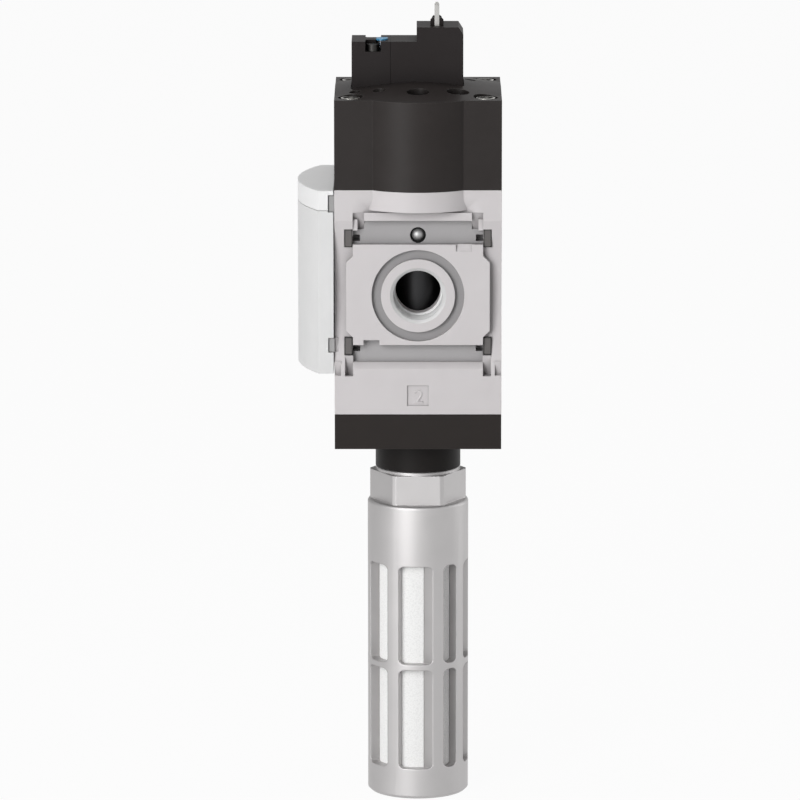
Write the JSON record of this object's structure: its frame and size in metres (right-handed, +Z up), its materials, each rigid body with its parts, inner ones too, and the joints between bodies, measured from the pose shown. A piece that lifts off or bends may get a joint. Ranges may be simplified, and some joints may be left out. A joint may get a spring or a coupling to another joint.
{
  "type": "pneumatic dump valve",
  "caption": "Modular three-way air dump valve: square grey body with threaded ports front and back, black cap with solenoid pilot, side hood and slotted exhaust silencer.",
  "frame": {"origin": "centre of port 2 (the outlet) on the module's front face", "axes": "-Y is the outward normal of the front face with port 2, +Z points up the valve's axis to the cap and pilot valve, and the side hood is towards -X"},
  "size_m": [0.076, 0.0738, 0.3008],
  "materials": {
    "body_paint": "satin",
    "light_plastic": "satin",
    "black_plastic": "satin",
    "black_metal": "satin",
    "adapter_metal": "satin",
    "silencer_metal": "satin",
    "porous_plastic": "matte",
    "clip_plastic": "satin",
    "rubber": "matte",
    "bright_steel": "satin",
    "dark_steel": "satin",
    "turned_steel": "satin",
    "spring_steel": "satin",
    "brass": "satin",
    "poppet_metal": "satin",
    "moving_plastic": "satin",
    "copper_wire": "satin",
    "blade_plate": "satin",
    "blue_plastic": "gloss"
  },
  "bodies": {
    "module": {"body_casting": "body_paint", "cap_housing": "black_plastic", "base_plate": "black_metal", "exhaust_adapter": "adapter_metal", "cap_seal": "rubber", "base_seal": "rubber", "adapter_seal": "rubber", "cap_screws": "bright_steel", "base_screws": "dark_steel", "hood_front": "light_plastic", "hood_cap": "light_plastic", "gauge_plug": "turned_steel", "module_clips": "clip_plastic", "sealing_balls": "bright_steel", "cap_plugs": "black_plastic", "inlet_seat": "brass", "exhaust_seat": "brass", "seat_seals": "rubber", "seat_clip": "turned_steel", "guide_plate": "moving_plastic", "guide_seal": "rubber", "stem_seal": "rubber", "return_spring": "spring_steel", "pilot_body": "black_plastic", "pilot_coil_housing": "black_plastic", "pilot_gasket": "rubber", "pilot_screws": "dark_steel", "coil_bobbin": "moving_plastic", "coil_winding": "copper_wire", "fixed_core": "turned_steel", "armature_spring": "spring_steel", "contact_blades": "blade_plate", "contact_collars": "black_plastic", "override_spring": "spring_steel", "silencer_housing": "silencer_metal", "silencer_sleeve": "porous_plastic", "silencer_end_cap": "silencer_metal", "silencer_seal": "rubber"},
    "valve": {"valve_stem": "turned_steel", "poppet": "poppet_metal", "poppet_seals": "rubber", "stem_nut": "turned_steel", "pilot_piston": "moving_plastic", "piston_seal": "rubber", "piston_nut": "turned_steel"},
    "pilot_armature": {"armature": "turned_steel", "armature_seal": "rubber"},
    "override": {"manual_override": "blue_plastic"},
    "throttle": {"throttle_screw": "bright_steel"},
    "needle": {"throttle_needle": "brass"}
  },
  "joints": [
    {"name": "valve_stroke", "type": "slide", "parent": "module", "child": "valve", "axis": [0, 0, -1], "range_m": [0, 0.005], "stiffness_N_per_m": 8000, "springref_m": -0.004, "deforming": ["return_spring"]},
    {"name": "armature_stroke", "type": "slide", "parent": "module", "child": "pilot_armature", "axis": [1, 0, 0], "range_m": [0, 0.0008], "stiffness_N_per_m": 300, "springref_m": -0.002, "deforming": ["armature_spring"]},
    {"name": "override_press", "type": "slide", "parent": "module", "child": "override", "axis": [0, 0, -1], "range_m": [0, 0.00085], "stiffness_N_per_m": 250, "springref_m": -0.001, "deforming": ["override_spring"]},
    {"name": "throttle_turn", "type": "hinge", "parent": "module", "child": "throttle", "pos_m": [-0.0143, 0.0135, 0.074], "axis": [0, 0, -1], "range_deg": [0, 1152]},
    {"name": "needle_slide", "type": "slide", "parent": "module", "child": "needle", "axis": [0, 0, -1], "range_m": [0, 0.0016]}
  ],
  "couplings": [
    {"joint": "throttle_turn", "follows": "needle_slide", "rad_per_m": 12566}
  ]
}
